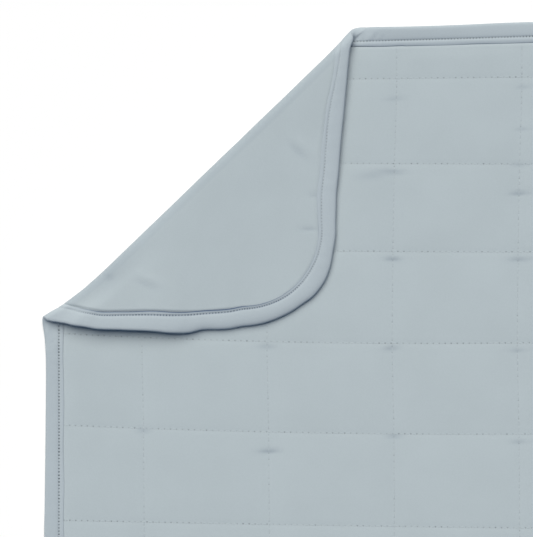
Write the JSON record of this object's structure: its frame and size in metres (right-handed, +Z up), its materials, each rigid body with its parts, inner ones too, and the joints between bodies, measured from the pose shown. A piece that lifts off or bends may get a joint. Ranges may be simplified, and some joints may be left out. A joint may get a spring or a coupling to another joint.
{
  "type": "quilted crib blanket with a turned-over corner",
  "caption": "Quilted crib blanket lying flat, face up, with round corners, a bound edge and one corner folded over to show its plain back.",
  "frame": {"origin": "middle of the bounding box, on the surface that the blanket lies on", "axes": "+Z up, +Y along the blanket towards the end with the turned-over corner, +X across it, with the turned-over corner on the -X side"},
  "size_m": [0.7621, 1.02, 0.0156],
  "materials": {
    "quilted_cloth": "matt cotton knit, quilted in boxes",
    "backing_cloth": "matt cotton knit, plain",
    "binding_cloth": "matt cotton knit strip, topstitched"
  },
  "bodies": {
    "root": {"quilted_front": "quilted_cloth", "plain_backing": "backing_cloth", "edge_binding": "binding_cloth"}
  },
  "joints": []
}
